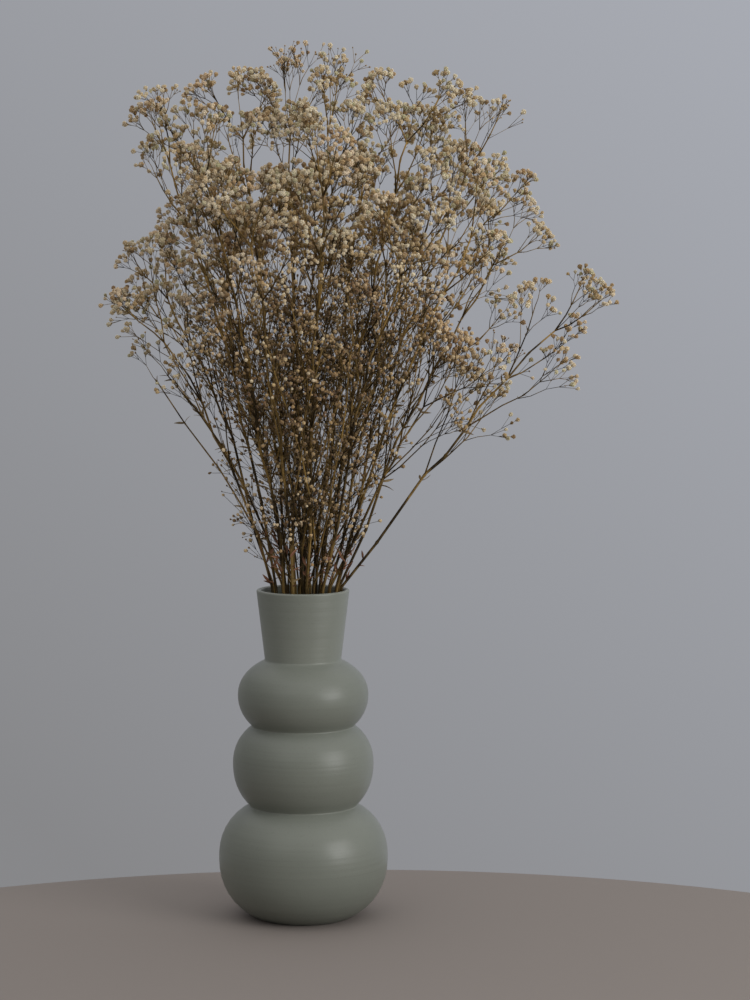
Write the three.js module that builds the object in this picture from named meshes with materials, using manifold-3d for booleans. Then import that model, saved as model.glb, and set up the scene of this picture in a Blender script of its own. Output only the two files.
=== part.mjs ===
// A bunch of preserved gypsophila (baby's breath) standing in a stoneware vase of three stacked bulbs.
// Millimetres, +Z up. The origin is the centre of the vase's flat foot, and +X is to the viewer's right.
import * as THREE from "three";
import { mergeVertices } from "three/addons/utils/BufferGeometryUtils.js";
import Module from "manifold-3d";

const wasm = await Module();
wasm.setup();

// Vase: each bulb is a squared ellipse of revolution, cut where it meets the next one
const vaseHeight = 275;
const wall = 4;
const floorThickness = 6;
const vaseSides = 32;
const lowerBulb = { radius: 70.7, equator: 50, above: 52.8, below: 57.6, power: 2.3 };
const middleBulb = { radius: 58.8, equator: 129, above: 43.2, below: 50.4, power: 2.2 };
const upperBulb = { radius: 54.5, equator: 186.6, above: 35.2, below: 39.6, power: 2.1 };
const collar = { bottomRadius: 31.8, bottom: 214.7, topRadius: 38.8 };
const lipRound = 1.3;

// Bunch: how the cut stems stand in the vase
const stemFootGap = 0.4;
const bundle = { foot: 26, throat: 24, mouth: 32.3 };
const bundleReach = 185;
const internode = 45;
const firstInternode = 112;
const tipReach = 55;
const nodeKink = 2.2;

// Thickness of what grows, at its root and at its tip
const stemRadius = { root: 1.6, tip: 0.8 };
const limbRadius = { root: 0.5, tip: 0.8 };
const sprigRadius = { root: 0.3, tip: 0.5 };
const bloomRadius = 3.3;
const stemSides = 3;
const twigSides = 3;
const bloomSides = 4;
const leafSize = { length: 15, width: 2.6, thickness: 0.9, droop: 3 };
const leafAngle = 64;
const leafDrop = 5;

// Limbs leave the stem in pairs, each pair turned from the last, and sprigs leave the limbs
const limbLength = 108;
const limbAngle = { low: 19, high: 35, spread: 7 };
const limbShrink = 0.48;
const sprigAngle = { least: 17, most: 33 };
const sprigPlaces = [0.3, 0.45, 0.45, 0.66, 0.66];

// Above this share of its limbs a stem is crown, and twigs of two sprays stay this far apart
const crownShare = 0.5;
const clearance = 0.6;

// Tips of the stems, how soon each leans outwards, and the seed that its limbs are drawn from
const stems = [
  { tip: [-146, -15, 530], lean: 0.24, seed: 343 },
  { tip: [-142, 45, 566], lean: 0.25, seed: 29 },
  { tip: [-126, -48, 678], lean: 0.27, seed: 71 },
  { tip: [-92, 75, 650], lean: 0.30, seed: 2 },
  { tip: [-90, -80, 664], lean: 0.30, seed: 40 },
  { tip: [-56, 15, 702], lean: 0.32, seed: 6 },
  { tip: [-44, -120, 610], lean: 0.30, seed: 7 },
  { tip: [-12, 55, 708], lean: 0.36, seed: 6 },
  { tip: [24, -30, 704], lean: 0.36, seed: 4 },
  { tip: [20, -110, 650], lean: 0.34, seed: 3 },
  { tip: [62, 60, 680], lean: 0.34, seed: 25 },
  { tip: [98, -5, 698], lean: 0.34, seed: 15 },
  { tip: [126, 70, 650], lean: 0.32, seed: 3 },
  { tip: [160, 22, 676], lean: 0.32, seed: 10 },
  { tip: [164, -58, 616], lean: 0.32, seed: 2 },
  { tip: [188, 62, 592], lean: 0.34, seed: 1 },
  { tip: [246, -10, 532], lean: 0.42, seed: 47 },
  { tip: [130, -30, 476], lean: 0.36, seed: 1 },
  { tip: [98, -105, 586], lean: 0.32, seed: 2 },
  { tip: [-88, 120, 576], lean: 0.28, seed: 4 },
  { tip: [10, 125, 632], lean: 0.32, seed: 2 },
  { tip: [84, 125, 586], lean: 0.32, seed: 1 },
];

const vector = (x, y, z) => new THREE.Vector3(x, y, z);
const up = vector(0, 0, 1);

// Numbers from 0 to 1 that are the same on every run
function seededDraw(seed) {
  let state = (seed * 48271 + 11) % 2147483647;
  return () => {
    state = (state * 16807) % 2147483647;
    return state / 2147483647;
  };
}

// Radius of a bulb at height z
function bulbRadius(bulb, z) {
  const rise = z - bulb.equator;
  const half = rise > 0 ? bulb.above : bulb.below;
  const share = 1 - Math.pow(Math.abs(rise) / half, bulb.power);
  return bulb.radius * Math.pow(Math.max(0, share), 1 / bulb.power);
}

// Height at which two stacked bulbs meet
function creaseHeight(lower, higher) {
  let low = lower.equator;
  let high = higher.equator;
  for (let step = 0; step < 40; step++) {
    const middle = (low + high) / 2;
    if (bulbRadius(lower, middle) > bulbRadius(higher, middle)) low = middle;
    else high = middle;
  }
  return (low + high) / 2;
}

// Height on the upper half of a bulb at which it has the given radius
function heightAt(bulb, radius) {
  const share = 1 - Math.pow(radius / bulb.radius, bulb.power);
  return bulb.equator + bulb.above * Math.pow(share, 1 / bulb.power);
}

// Points on a bulb's side between two heights, closer together where it turns fast
function bulbSide(bulb, from, to, count) {
  const turn = (z) => {
    const half = z > bulb.equator ? bulb.above : bulb.below;
    const share = Math.min(1, Math.abs(z - bulb.equator) / half);
    return Math.sign(z - bulb.equator) * Math.asin(share);
  };
  const points = [];
  for (let i = 0; i <= count; i++) {
    const angle = turn(from) + ((turn(to) - turn(from)) * i) / count;
    const half = angle > 0 ? bulb.above : bulb.below;
    const z = bulb.equator + half * Math.sin(angle);
    points.push(new THREE.Vector2(bulbRadius(bulb, z), z));
  }
  return points;
}

function insideOf(bulb) {
  return { ...bulb, radius: bulb.radius - wall, above: bulb.above - wall, below: bulb.below - wall };
}

// Sides of the three bulbs from the height start up to the collar's foot
function bulbStack([low, middle, high], start, collarRadius, counts) {
  const first = creaseHeight(low, middle);
  const second = creaseHeight(middle, high);
  return [
    ...bulbSide(low, start, first, counts[0]),
    ...bulbSide(middle, first, second, counts[1]).slice(1),
    ...bulbSide(high, second, heightAt(high, collarRadius), counts[2]).slice(1),
  ];
}

function makeVase() {
  const bulbs = [lowerBulb, middleBulb, upperBulb];
  const outside = bulbStack(bulbs, 0, collar.bottomRadius, [7, 5, 5]);
  const throatRadius = collar.bottomRadius - wall;
  const inside = bulbStack(bulbs.map(insideOf), floorThickness, throatRadius, [3, 3, 3]);
  const lipOut = collar.topRadius;
  const lipIn = collar.topRadius - wall;
  const profile = [
    new THREE.Vector2(0, 0),
    ...outside,
    new THREE.Vector2(lipOut, vaseHeight - lipRound),
    new THREE.Vector2(lipOut - lipRound, vaseHeight),
    new THREE.Vector2(lipIn + lipRound, vaseHeight),
    new THREE.Vector2(lipIn, vaseHeight - lipRound),
    ...inside.reverse(),
    new THREE.Vector2(0, floorThickness),
  ];
  return new THREE.LatheGeometry(profile, vaseSides).rotateX(Math.PI / 2);
}

// A closed mesh as a manifold-3d solid
function solidOf(geometry) {
  const bare = geometry.index ? geometry.toNonIndexed() : geometry.clone();
  bare.deleteAttribute("normal");
  bare.deleteAttribute("uv");
  const merged = mergeVertices(bare, 1e-4);
  return new wasm.Manifold(
    new wasm.Mesh({
      numProp: 3,
      vertProperties: merged.attributes.position.array,
      triVerts: new Uint32Array(merged.index.array),
    }),
  );
}

function geometryOf(solid) {
  const { vertProperties, triVerts } = solid.getMesh();
  const geometry = new THREE.BufferGeometry();
  geometry.setAttribute("position", new THREE.BufferAttribute(new Float32Array(vertProperties), 3));
  geometry.setIndex(new THREE.BufferAttribute(new Uint32Array(triVerts), 1));
  geometry.computeVertexNormals();
  return geometry;
}

// A closed skin over rings of points. A ring may be a single point, and neighbours may differ in number
function skinOver(rings) {
  const places = rings.flat();
  const faces = [];
  let start = 0;
  rings.slice(1).forEach((ring, index) => {
    const lower = rings[index].length;
    const higher = ring.length;
    const next = start + lower;
    let i = 0;
    let j = 0;
    while ((lower > 1 && i < lower) || (higher > 1 && j < higher)) {
      const lowerTurn = lower > 1 && i < lower ? (i + 1) / lower : 2;
      const higherTurn = higher > 1 && j < higher ? (j + 1) / higher : 2;
      if (lowerTurn < higherTurn) {
        faces.push(start + (i % lower), start + ((i + 1) % lower), next + (j % higher));
        i++;
      } else {
        faces.push(start + (i % lower), next + ((j + 1) % higher), next + (j % higher));
        j++;
      }
    }
    start = next;
  });
  const geometry = new THREE.BufferGeometry().setFromPoints(places);
  geometry.setIndex(faces);
  return geometry;
}

// Rings along straight stretches between points: a bar of few sides that thins towards its tip
function barRings(points, radius, sides) {
  const last = points.length - 1;
  const first = points[1].clone().sub(points[0]).normalize();
  const reference = Math.abs(first.x) < 0.7 ? vector(1, 0, 0) : vector(0, 1, 0);
  return points.map((point, i) => {
    const along = points[Math.min(last, i + 1)].clone().sub(points[Math.max(0, i - 1)]).normalize();
    const side = reference.clone().addScaledVector(along, -reference.dot(along)).normalize();
    const across = along.clone().cross(side);
    const size = THREE.MathUtils.lerp(radius.root, radius.tip, i / last);
    return Array.from({ length: sides }, (_, k) => {
      const turn = (2 * Math.PI * k) / sides;
      const ring = point.clone().addScaledVector(side, size * Math.cos(turn));
      return ring.addScaledVector(across, size * Math.sin(turn));
    });
  });
}

// A bar whose two ends are closed by a point on its axis
function closedBar(points, radius, sides) {
  return skinOver([[points[0]], ...barRings(points, radius, sides), [points.at(-1)]]);
}

// A twig that ends in a bloom, which is widest above the twig's tip and drawn to a point on top
function bloomingTwig(points, radius) {
  const tip = points.at(-1);
  const along = tip.clone().sub(points.at(-2)).normalize();
  const widest = tip.clone().addScaledVector(along, 0.75 * bloomRadius);
  const round = { root: bloomRadius, tip: bloomRadius };
  const bloom = barRings([widest, widest.clone().add(along)], round, bloomSides)[0];
  const top = tip.clone().addScaledVector(along, 1.7 * bloomRadius);
  return skinOver([[points[0]], ...barRings(points, radius, twigSides), bloom, [top]]);
}

// A narrow dried leaf: a thin blade, widest near its middle
function leaf({ root, direction }) {
  const side = direction.clone().cross(up).normalize();
  const face = direction.clone().cross(side);
  const middle = root.clone().addScaledVector(direction, leafSize.length * 0.45);
  const half = leafSize.width / 2;
  const edge = leafSize.thickness / 2;
  const ring = [
    middle.clone().addScaledVector(side, half),
    middle.clone().addScaledVector(face, edge),
    middle.clone().addScaledVector(side, -half),
    middle.clone().addScaledVector(face, -edge),
  ];
  const tip = root.clone().addScaledVector(direction, leafSize.length).addScaledVector(up, -leafSize.droop);
  return skinOver([[root], ring, [tip]]);
}

// Direction that leans away from an axis by an angle, on the side given by the turn
function leaning(axis, angle, turn) {
  const side = Math.abs(axis.z) < 0.95 ? axis.clone().cross(up).normalize() : vector(1, 0, 0);
  const across = axis.clone().cross(side);
  return axis
    .clone()
    .multiplyScalar(Math.cos(angle))
    .addScaledVector(side, Math.sin(angle) * Math.cos(turn))
    .addScaledVector(across, Math.sin(angle) * Math.sin(turn))
    .normalize();
}

// The stem's own line: foot, throat and mouth in the vase, then a node at the end of each internode
function stemLine(tip, lean, between) {
  const reach = Math.hypot(tip.x, tip.y);
  const share = Math.min(1, reach / bundleReach) / reach;
  const inBundle = (radius, z) => vector(tip.x * share * radius, tip.y * share * radius, z);
  const mouth = inBundle(bundle.mouth, vaseHeight + 2);
  const bend = mouth.clone().lerp(tip, lean);
  bend.z = (mouth.z + tip.z) / 2;
  const curve = new THREE.QuadraticBezierCurve3(mouth, bend, tip);
  const length = mouth.distanceTo(tip);
  const first = firstInternode * between(0.75, 1.2);
  const last = length - tipReach;
  const nodes = Math.max(1, Math.round((last - first) / internode));
  const line = [
    inBundle(bundle.foot, floorThickness + stemFootGap),
    inBundle(bundle.throat, collar.bottom),
    mouth,
  ];
  for (let i = 0; i <= nodes; i++) {
    const node = curve.getPoint((first + ((last - first) * i) / nodes) / length);
    node.x += between(-nodeKink, nodeKink);
    node.y += between(-nodeKink, nodeKink);
    line.push(node);
  }
  return line;
}

// Everything that one stem grows: its line, its limbs and their sprigs
function growSpray({ tip, lean, seed }) {
  const draw = seededDraw(seed);
  const between = (low, high) => low + (high - low) * draw();
  const radians = THREE.MathUtils.degToRad;
  const line = stemLine(vector(...tip), lean, between);
  const limbs = [];
  const leaves = [];
  const firstNode = 3;
  const nodes = line.length - firstNode;
  let turn = between(0, 2 * Math.PI);
  for (let i = 0; i < nodes; i++) {
    const node = line[firstNode + i];
    const along = node.clone().sub(line[firstNode + i - 1]).normalize();
    turn += radians(90 + between(-18, 18));
    if (i === 0) {
      const root = node.clone().addScaledVector(along, -leafDrop);
      for (const opposite of [0, Math.PI]) {
        leaves.push({ root, direction: leaning(along, radians(leafAngle), turn + opposite) });
      }
    }
    for (const opposite of [0, Math.PI]) {
      const opening = THREE.MathUtils.lerp(limbAngle.low, limbAngle.high, i / nodes);
      const angle = radians(opening + between(-limbAngle.spread, limbAngle.spread));
      const length = limbLength * (1 - (limbShrink * i) / nodes) * between(0.8, 1.15);
      const start = leaning(along, angle, turn + opposite);
      const end = start.clone().addScaledVector(up, between(0.15, 0.45)).normalize();
      const elbow = node.clone().addScaledVector(start, length * 0.5);
      const limb = [node, elbow, elbow.clone().addScaledVector(end, length * 0.5)];
      limbs.push({ line: limb, sprigs: growSprigs(limb, length, between) });
    }
  }
  return { line, limbs, leaves };
}

// Sprigs reach about as far as the limb's own tip, so that their blooms make a dome
function growSprigs(limb, length, between) {
  let turn = between(0, 2 * Math.PI);
  return sprigPlaces.map((place, i) => {
    const [from, to] = place < 0.5 ? [limb[0], limb[1]] : [limb[1], limb[2]];
    const root = from.clone().lerp(to, (place % 0.5) * 2);
    const along = to.clone().sub(from).normalize();
    turn += Math.PI * (i % 2 ? 0.5 : 1);
    const angle = THREE.MathUtils.degToRad(between(sprigAngle.least, sprigAngle.most));
    const direction = leaning(along, angle, turn + between(-0.3, 0.3));
    const reach = length * (1 - place) * between(0.8, 1.02);
    return { root, direction, end: root.clone().addScaledVector(direction, reach) };
  });
}

// Straight stretches of a twig or stem, each with its thickness from the middle out
function stretchesOf(points, radius) {
  const thickness = Math.max(radius.root, radius.tip);
  return points.slice(1).map((end, i) => ({ line: new THREE.Line3(points[i], end), thickness }));
}

// The stretch that the bloom at a twig's tip fills
function bloomStretch(points) {
  const tip = points.at(-1);
  const along = tip.clone().sub(points.at(-2)).normalize();
  const top = tip.clone().addScaledVector(along, bloomRadius);
  return { line: new THREE.Line3(tip, top), thickness: bloomRadius };
}

// A leaf counts as a straight bar of the leaf's width
function leafStretches({ root, direction }) {
  const tip = root.clone().addScaledVector(direction, leafSize.length);
  return stretchesOf([root, tip], { root: 0, tip: leafSize.width / 2 });
}

function areApart(some, others) {
  return some.every((one) =>
    others.every((other) => {
      const least = one.thickness + other.thickness + clearance;
      return one.line.distanceSqToLine3(other.line) > least * least;
    }),
  );
}

// The solid twigs of each spray: its limbs, and the longest sprig of the first limb in each pair, or of both
// in the crown. A twig that would come too near another spray is left out
function chooseTwigs(sprays) {
  const chosen = sprays.map(() => []);
  const filled = sprays.map(({ line, leaves }) => [
    ...stretchesOf(line, stemRadius),
    ...leaves.flatMap(leafStretches),
  ]);
  const addTwig = (number, points, radius) => {
    const stretches = [...stretchesOf(points, radius), bloomStretch(points)];
    const hasRoom = filled.every((others, index) => index === number || areApart(stretches, others));
    if (hasRoom) {
      filled[number].push(...stretches);
      chosen[number].push({ points, radius });
    }
    return hasRoom;
  };

  const limbs = sprays.flatMap((spray, number) =>
    spray.limbs.map((limb, index) => {
      const isInCrown = index >= crownShare * spray.limbs.length;
      return { ...limb, number, isFirst: index % 2 === 0, isInCrown };
    }),
  );
  const firstLimbs = limbs.filter((limb) => limb.isFirst);
  const secondLimbs = limbs.filter((limb) => !limb.isFirst);
  const addLimb = ({ number, line }) => addTwig(number, line, limbRadius);
  [...firstLimbs, ...secondLimbs]
    .filter(addLimb)
    .filter((limb) => limb.isFirst || limb.isInCrown)
    .forEach(({ number, sprigs }) => addTwig(number, [sprigs[0].root, sprigs[0].end], sprigRadius));
  return chosen;
}

function makeSpray({ line, leaves }, twigs) {
  const pieces = [
    closedBar(line, stemRadius, stemSides),
    ...twigs.map(({ points, radius }) => bloomingTwig(points, radius)),
    ...leaves.map(leaf),
  ];
  return wasm.Manifold.union(pieces.map(solidOf));
}

const bunch = new THREE.Group();
const glaze = new THREE.MeshStandardMaterial({ color: 0x8d9488, roughness: 0.55, metalness: 0 });
const vase = new THREE.Mesh(makeVase(), glaze);
vase.name = "vase";
bunch.add(vase);

const sprays = stems.map(growSpray);
const twigs = chooseTwigs(sprays);
sprays.forEach((grown, index) => {
  const driedStraw = new THREE.MeshStandardMaterial({ color: 0xb09c78, roughness: 0.9, metalness: 0 });
  const spray = new THREE.Mesh(geometryOf(makeSpray(grown, twigs[index])), driedStraw);
  spray.name = `spray_${String(index + 1).padStart(2, "0")}`;
  bunch.add(spray);
});

export default bunch;
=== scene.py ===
import math
from itertools import product
from types import SimpleNamespace

import bmesh
import bpy
from mathutils import Matrix, Vector, noise


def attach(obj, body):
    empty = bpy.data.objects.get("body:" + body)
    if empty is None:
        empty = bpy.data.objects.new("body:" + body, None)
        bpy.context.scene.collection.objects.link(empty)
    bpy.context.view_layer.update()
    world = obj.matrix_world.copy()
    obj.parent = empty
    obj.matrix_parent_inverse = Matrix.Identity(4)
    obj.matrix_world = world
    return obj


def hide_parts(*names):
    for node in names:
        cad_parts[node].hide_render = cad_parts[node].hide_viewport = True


# Preserved gypsophila in a vase of stacked bulbs.
# The vase's shape and all growth are in millimetres until they become meshes. The rest is in metres.

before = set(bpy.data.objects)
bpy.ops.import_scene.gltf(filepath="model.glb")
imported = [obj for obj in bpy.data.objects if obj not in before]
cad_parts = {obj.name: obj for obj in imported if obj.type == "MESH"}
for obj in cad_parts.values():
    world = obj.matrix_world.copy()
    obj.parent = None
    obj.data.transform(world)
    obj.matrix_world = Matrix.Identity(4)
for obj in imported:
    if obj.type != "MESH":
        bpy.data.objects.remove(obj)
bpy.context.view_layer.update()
mm = 0.001
up = Vector((0, 0, 1))
print("frame loaded:", len(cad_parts), "nodes")


# camera, set as the picture was taken
shot = {
    "sideways": 0.060,
    "back": 2.2,
    "height": 0.533,
    "tiltDown": 4.77,
    "lens": 95.76,
    "sensor": 36,
    "clip": (0.05, 60),
}


def placeCamera(shot):
    data = bpy.data.cameras.new("shotCamera")
    data.lens = shot["lens"]
    data.sensor_width = shot["sensor"]
    data.clip_start, data.clip_end = shot["clip"]
    camera = bpy.data.objects.new("shotCamera", data)
    camera.location = (shot["sideways"], -shot["back"], shot["height"])
    camera.rotation_euler = (math.radians(90 - shot["tiltDown"]), 0, 0)
    bpy.context.scene.collection.objects.link(camera)
    bpy.context.scene.camera = camera


placeCamera(shot)


def addNode(tree, kind, inputs=None, **settings):
    node = tree.nodes.new(kind)
    for name, value in settings.items():
        setattr(node, name, value)
    for name, value in (inputs or {}).items():
        node.inputs[name].default_value = value
    return node


def startMaterial(name):
    material = bpy.data.materials.new(name)
    material.use_nodes = True
    tree = material.node_tree
    shader = tree.nodes["Principled BSDF"]
    coords = addNode(tree, "ShaderNodeTexCoord")
    return material, tree, shader, coords.outputs["Object"]


def noiseOn(tree, coords, scale, detail=2.0, roughness=0.5, stretch=(1, 1, 1)):
    mapping = addNode(tree, "ShaderNodeMapping", {"Scale": stretch})
    texture = addNode(
        tree, "ShaderNodeTexNoise", {"Scale": scale, "Detail": detail, "Roughness": roughness}
    )
    tree.links.new(coords, mapping.inputs["Vector"])
    tree.links.new(mapping.outputs["Vector"], texture.inputs["Vector"])
    return texture.outputs["Fac"]


def rangeOf(tree, value, low, high, newLow=0.0, newHigh=1.0):
    node = addNode(
        tree,
        "ShaderNodeMapRange",
        {"From Min": low, "From Max": high, "To Min": newLow, "To Max": newHigh},
    )
    tree.links.new(value, node.inputs["Value"])
    return node.outputs["Result"]


def mixColours(tree, share, first, second, blend="MIX"):
    node = addNode(tree, "ShaderNodeMix", data_type="RGBA", blend_type=blend)
    sockets = [s for s in node.inputs if s.type == "RGBA"]
    for socket, colour in zip(sockets, (first, second)):
        if isinstance(colour, bpy.types.NodeSocket):
            tree.links.new(colour, socket)
        else:
            socket.default_value = (*colour, 1)
    if isinstance(share, bpy.types.NodeSocket):
        tree.links.new(share, node.inputs["Factor"])
    else:
        node.inputs["Factor"].default_value = share
    return next(s for s in node.outputs if s.type == "RGBA")


def attributeOf(tree, name):
    return addNode(tree, "ShaderNodeAttribute", attribute_name=name).outputs["Fac"]


def addUp(tree, first, second, clamped=False):
    total = addNode(tree, "ShaderNodeMath", operation="ADD", use_clamp=clamped)
    tree.links.new(first, total.inputs[0])
    tree.links.new(second, total.inputs[1])
    return total.outputs[0]


def addBump(tree, shader, height, distance):
    bump = addNode(tree, "ShaderNodeBump", {"Distance": distance, "Strength": 1.0})
    tree.links.new(height, bump.inputs["Height"])
    tree.links.new(bump.outputs["Normal"], shader.inputs["Normal"])


surfaceInputs = {
    "roughness": "Roughness",
    "gloss": "Specular IOR Level",
    "sheen": "Sheen Weight",
    "sheenRoughness": "Sheen Roughness",
}


def setSurface(shader, look):
    for name, socket in surfaceInputs.items():
        if name in look:
            shader.inputs[socket].default_value = look[name]


# vase: matte glaze, a little lighter where it runs thin at the rim and over the creases.
# A range maps a value from its first two numbers to 0 and 1, or to its last two numbers
glazeLook = {
    "sage": (0.2, 0.213, 0.18),
    "greySage": (0.188, 0.201, 0.170),
    "thinGlaze": (0.31, 0.32, 0.27),
    "speck": (0.16, 0.168, 0.14),
    "drift": {"scale": 14, "detail": 3},
    "driftRange": (0.35, 0.65),
    "specks": {"scale": 620, "detail": 1},
    "speckRange": (0.62, 0.72, 0, 0.35),
    "polish": {"scale": 45, "detail": 4},
    "polishRange": (0.3, 0.7, 0.31, 0.42),
    "gloss": 0.36,
    "throwing": {"scale": 5, "detail": 3, "roughness": 0.6, "stretch": (0.3, 0.3, 26)},
    "grain": {"scale": 900, "detail": 2},
    "grainShare": 0.12,
    "bump": 0.0004,
}


def makeGlaze(look):
    material, tree, shader, coords = startMaterial("matteSageGlaze")
    drift = rangeOf(tree, noiseOn(tree, coords, **look["drift"]), *look["driftRange"])
    body = mixColours(tree, drift, look["sage"], look["greySage"])
    specks = rangeOf(tree, noiseOn(tree, coords, **look["specks"]), *look["speckRange"])
    speckled = mixColours(tree, specks, body, look["speck"])
    worn = mixColours(tree, attributeOf(tree, "thinGlaze"), speckled, look["thinGlaze"])
    tree.links.new(worn, shader.inputs["Base Color"])
    polish = rangeOf(tree, noiseOn(tree, coords, **look["polish"]), *look["polishRange"])
    tree.links.new(polish, shader.inputs["Roughness"])
    setSurface(shader, look)
    throwing = noiseOn(tree, coords, **look["throwing"])
    grain = noiseOn(tree, coords, **look["grain"])
    both = addNode(tree, "ShaderNodeMath", {1: look["grainShare"]}, operation="MULTIPLY_ADD")
    tree.links.new(grain, both.inputs[0])
    tree.links.new(throwing, both.inputs[2])
    addBump(tree, shader, both.outputs[0], look["bump"])
    return material


vaseShape = {
    "height": 275,
    "wall": 4,
    "floor": 6,
    "steps": 120,
    "outsideSteps": 16,
    "insideSteps": 10,
    "bulbs": [
        {"radius": 70.7, "equator": 50, "above": 52.8, "below": 57.6, "power": 2.3},
        {"radius": 58.8, "equator": 129, "above": 43.2, "below": 50.4, "power": 2.2},
        {"radius": 54.5, "equator": 186.6, "above": 35.2, "below": 39.6, "power": 2.1},
    ],
    "collarFoot": 31.8,
    "collarTop": 38.8,
    "lip": {"size": 1.7, "segments": 5},
    "crease": {"size": 1.3, "segments": 4},
    "foot": {"size": 1.2, "segments": 3},
    "thinLip": {"most": 0.75, "reach": 2.2},
    "thinCrease": {"most": 0.35, "reach": 2.4, "rise": 1},
    "uneven": {"middle": 0.6, "change": 0.4, "scale": 90},
    "halvings": 40,
    "merge": 0.01,
    "near": 0.02,
}


def bulbRadius(bulb, z):
    rise = z - bulb["equator"]
    half = bulb["above"] if rise > 0 else bulb["below"]
    share = 1 - (abs(rise) / half) ** bulb["power"]
    return bulb["radius"] * max(0, share) ** (1 / bulb["power"])


def creaseHeight(lower, higher):
    low, high = lower["equator"], higher["equator"]
    for _ in range(vaseShape["halvings"]):
        middle = (low + high) / 2
        if bulbRadius(lower, middle) > bulbRadius(higher, middle):
            low = middle
        else:
            high = middle
    return (low + high) / 2


def bulbSide(bulb, start, end, count):
    def turnAt(z):
        half = bulb["above"] if z > bulb["equator"] else bulb["below"]
        return math.asin(max(-1, min(1, (z - bulb["equator"]) / half)))

    side = []
    for i in range(count + 1):
        angle = turnAt(start) + (turnAt(end) - turnAt(start)) * i / count
        half = bulb["above"] if angle > 0 else bulb["below"]
        z = bulb["equator"] + half * math.sin(angle)
        side.append((bulbRadius(bulb, z), z))
    return side


def bulbStack(bulbs, start, top, count):
    first = creaseHeight(bulbs[0], bulbs[1])
    second = creaseHeight(bulbs[1], bulbs[2])
    last = bulbs[2]
    share = 1 - (top / last["radius"]) ** last["power"]
    end = last["equator"] + last["above"] * share ** (1 / last["power"])
    side = bulbSide(bulbs[0], start, first, count)
    side += bulbSide(bulbs[1], first, second, count)[1:]
    side += bulbSide(last, second, end, count)[1:]
    return side


def spinVase(bm, shape, outside):
    wall = shape["wall"]
    thinner = [
        {**b, "radius": b["radius"] - wall, "above": b["above"] - wall, "below": b["below"] - wall}
        for b in shape["bulbs"]
    ]
    inside = bulbStack(thinner, shape["floor"], shape["collarFoot"] - wall, shape["insideSteps"])
    profile = [(0, 0)] + outside
    profile += [(shape["collarTop"], shape["height"]), (shape["collarTop"] - wall, shape["height"])]
    profile += inside[::-1] + [(0, shape["floor"])]
    points = [bm.verts.new((r * mm, 0, z * mm)) for r, z in profile]
    edges = [bm.edges.new(pair) for pair in zip(points, points[1:])]
    bmesh.ops.spin(
        bm,
        geom=points + edges,
        cent=(0, 0, 0),
        axis=(0, 0, 1),
        angle=2 * math.pi,
        steps=shape["steps"],
        use_merge=True,
    )
    bmesh.ops.remove_doubles(bm, verts=bm.verts, dist=shape["merge"] * mm)
    bmesh.ops.recalc_face_normals(bm, faces=bm.faces)


def roundRing(bm, radius, height, size, segments):
    near = vaseShape["near"] * mm

    def isOnRing(v):
        return abs(v.co.z - height * mm) < near and abs(v.co.xy.length - radius * mm) < near

    bmesh.ops.bevel(
        bm,
        geom=[e for e in bm.edges if all(isOnRing(v) for v in e.verts)],
        offset=size * mm,
        segments=segments,
        profile=0.5,
        affect="EDGES",
        material=-1,
    )


def thinnessAt(point, shape, creases):
    lip, crease, uneven = shape["thinLip"], shape["thinCrease"], shape["uneven"]
    z = point.z / mm
    onLip = max(0, 1 - abs(z - shape["height"]) / lip["reach"])
    inCrease = max(max(0, 1 - abs(z - c - crease["rise"]) / crease["reach"]) for c in creases)
    patches = uneven["middle"] + uneven["change"] * noise.noise(point * uneven["scale"])
    return min(1, (onLip * lip["most"] + inCrease * crease["most"]) * patches)


def makeVase(shape):
    bulbs = shape["bulbs"]
    outside = bulbStack(bulbs, 0, shape["collarFoot"], shape["outsideSteps"])
    creases = [creaseHeight(low, high) for low, high in zip(bulbs, bulbs[1:])]
    bm = bmesh.new()
    spinVase(bm, shape, outside)

    # the creases outside, the foot's edge and the lip are rounded as the glaze leaves them
    for bulb, z in zip(bulbs, creases):
        roundRing(bm, bulbRadius(bulb, z), z, **shape["crease"])
    roundRing(bm, *outside[-1], **shape["crease"])
    roundRing(bm, *outside[0], **shape["foot"])
    for radius in (shape["collarTop"], shape["collarTop"] - shape["wall"]):
        roundRing(bm, radius, shape["height"], **shape["lip"])
    for face in bm.faces:
        face.smooth = True
    mesh = bpy.data.meshes.new("stoneVase")
    bm.to_mesh(mesh)
    bm.free()

    creases.append(outside[-1][1])
    thin = mesh.attributes.new("thinGlaze", "FLOAT", "POINT")
    thin.data.foreach_set("value", [thinnessAt(v.co, shape, creases) for v in mesh.vertices])
    mesh.materials.append(makeGlaze(glazeLook))
    vase = bpy.data.objects.new("stoneVase", mesh)
    bpy.context.scene.collection.objects.link(vase)
    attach(vase, "root")
    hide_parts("vase")
    print("vase made:", len(mesh.polygons), "faces")


makeVase(vaseShape)


# how the bunch grows: the same rule and numbers as its solids have
growth = {
    "mouthHeight": 277,
    "footHeight": 6.4,
    "throatHeight": 214.7,
    "bundle": {"foot": 26, "throat": 24, "mouth": 32.3},
    "bundleReach": 185,
    "internode": 45,
    "firstInternode": 112,
    "firstSpread": (0.75, 1.2),
    "tipReach": 55,
    "nodeKink": 2.2,
    "nodeTurn": {"middle": 90, "spread": 18},
    "limbLength": 108,
    "limbSpread": (0.8, 1.15),
    "limbAngle": {"low": 19, "high": 35, "spread": 7},
    "limbShrink": 0.48,
    "limbRise": (0.15, 0.45),
    "sprigAngle": (17, 33),
    "sprigTurn": (-0.3, 0.3),
    "sprigSpread": (0.8, 1.02),
    "sprigPlaces": [0.3, 0.45, 0.45, 0.66, 0.66],
    "leafDrop": 5,
    "leafAngle": 64,
    "steep": 0.95,
}

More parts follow.
